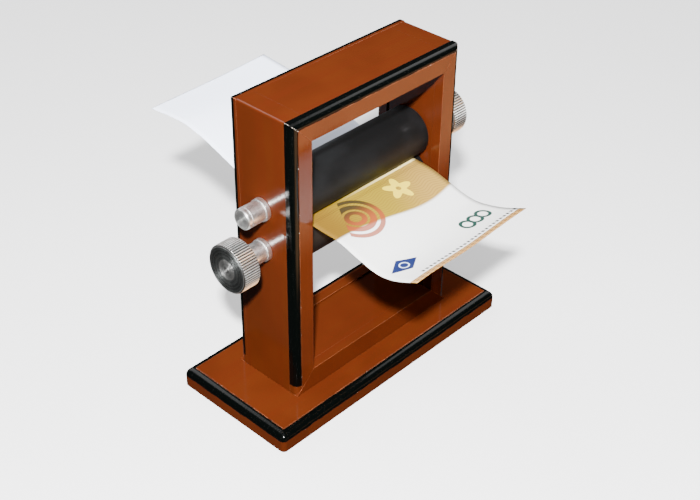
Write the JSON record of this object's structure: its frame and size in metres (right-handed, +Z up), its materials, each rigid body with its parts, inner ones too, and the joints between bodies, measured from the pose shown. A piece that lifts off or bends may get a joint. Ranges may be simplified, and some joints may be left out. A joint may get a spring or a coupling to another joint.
{
  "type": "money printing magic machine",
  "caption": "Hand-cranked magic prop: an open box frame on a base holds cloth-wound rollers that draw in a blank sheet and feed out a printed note.",
  "frame": {"origin": "middle of the base plate's underside, on the table", "axes": "+X along the rollers towards the upper knob, -Y the way the printed note comes out, +Z up"},
  "size_m": [0.16, 0.1769, 0.1613],
  "materials": {
    "brown_paint": "gloss reddish-brown enamel on wood, rounded edges picked out in black",
    "turned_aluminium": "lathe-turned, faint rings",
    "knurled_aluminium": "straight-knurled rim, turned face",
    "roller_wood": "plain dowel",
    "black_cloth": "smooth coated black cloth, satin",
    "note_paper": null,
    "blank_paper": "plain white paper",
    "screw_steel": "plain"
  },
  "bodies": {
    "frame": {"base_plate": "brown_paint", "left_side_board": "brown_paint", "right_side_board": "brown_paint", "top_board": "brown_paint", "bottom_board": "brown_paint", "front_trim_left": "brown_paint", "front_trim_right": "brown_paint", "front_trim_top": "brown_paint", "front_trim_bottom": "brown_paint", "rear_trim_left": "brown_paint", "rear_trim_right": "brown_paint", "rear_trim_top": "brown_paint", "rear_trim_bottom": "brown_paint", "base_screws": "screw_steel", "cloth_strip": "black_cloth"},
    "upper_roller": {"upper_shaft": "turned_aluminium", "upper_roller": "roller_wood", "upper_winding": "black_cloth", "upper_left_collar": "turned_aluminium", "upper_right_collar": "turned_aluminium", "upper_knob": "knurled_aluminium"},
    "lower_roller": {"lower_shaft": "turned_aluminium", "lower_roller": "roller_wood", "lower_winding": "black_cloth", "lower_left_collar": "turned_aluminium", "lower_right_collar": "turned_aluminium", "lower_knob": "knurled_aluminium"},
    "note": {"printed_note": "note_paper"},
    "blank": {"blank_sheet": "blank_paper"}
  },
  "joints": [
    {"name": "lower_roller_spin", "type": "hinge", "parent": "frame", "child": "lower_roller", "pos_m": [0, 0, 0.0889], "axis": [1, 0, 0], "range_deg": [0, 320]},
    {"name": "upper_roller_spin", "type": "hinge", "parent": "frame", "child": "upper_roller", "pos_m": [0, 0, 0.1111], "axis": [1, 0, 0], "range_deg": [-320, 0]},
    {"name": "note_feed", "type": "slide", "parent": "frame", "child": "note", "axis": [0, -1, 0], "range_m": [0, 0.062]},
    {"name": "blank_feed", "type": "slide", "parent": "frame", "child": "blank", "axis": [0, -1, 0], "range_m": [0, 0.062], "deforming": ["blank_sheet"]}
  ],
  "couplings": [
    {"joint": "upper_roller_spin", "follows": "lower_roller_spin", "ratio": -1},
    {"joint": "note_feed", "follows": "lower_roller_spin", "m_per_rad": 0.0111},
    {"joint": "blank_feed", "follows": "lower_roller_spin", "m_per_rad": 0.0111}
  ]
}
